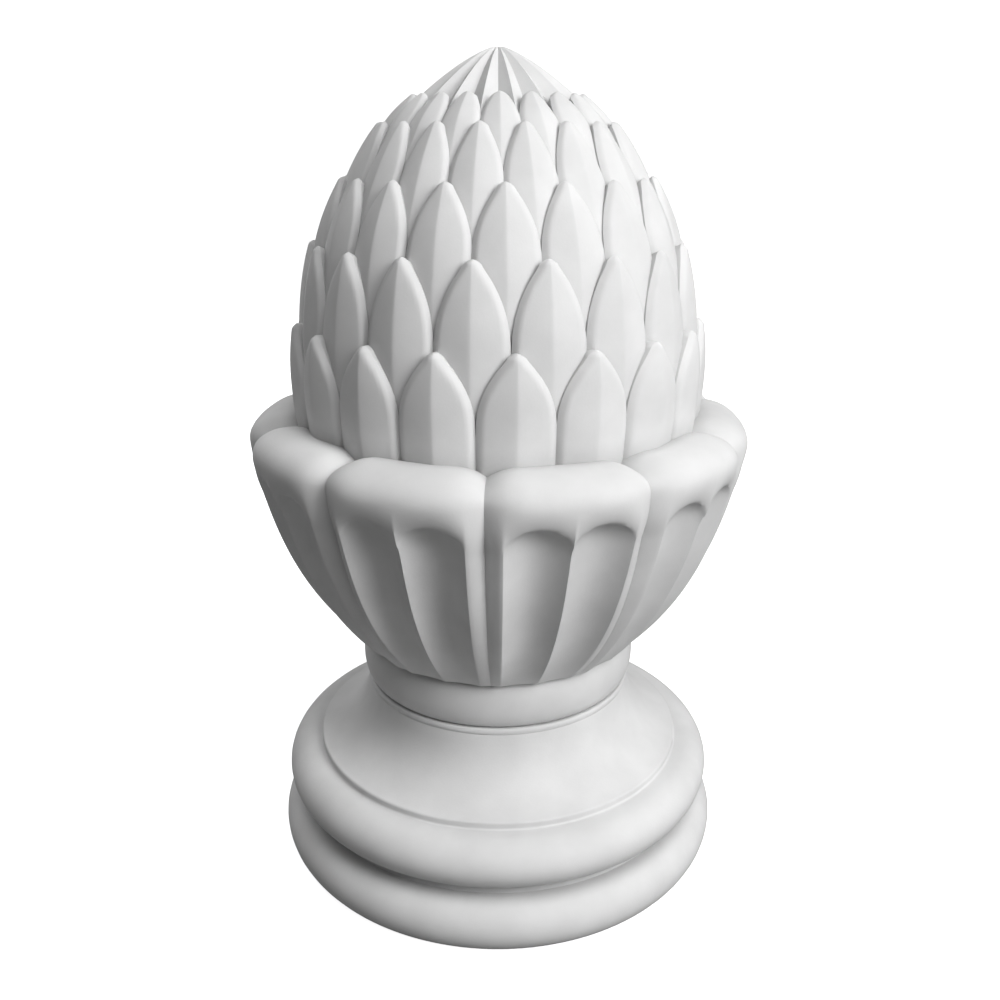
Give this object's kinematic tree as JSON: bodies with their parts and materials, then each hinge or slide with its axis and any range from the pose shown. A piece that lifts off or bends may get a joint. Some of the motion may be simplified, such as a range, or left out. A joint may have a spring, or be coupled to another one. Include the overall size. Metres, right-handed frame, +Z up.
{
  "type": "pine-cone finial",
  "caption": "Cast stone finial: a pine cone of keeled scales in a cup of rolled, fluted lobes, on a collar, a sweeping apron and torus mouldings.",
  "frame": {"origin": "centre of the flat underside", "axes": "+Z up along the finial's axis, towards its apex; the side that the picture shows faces -Y"},
  "size_m": [0.291, 0.2896, 0.4781],
  "materials": {
    "stone": "matte"
  },
  "bodies": {
    "root": {"finial": "stone"}
  },
  "joints": []
}
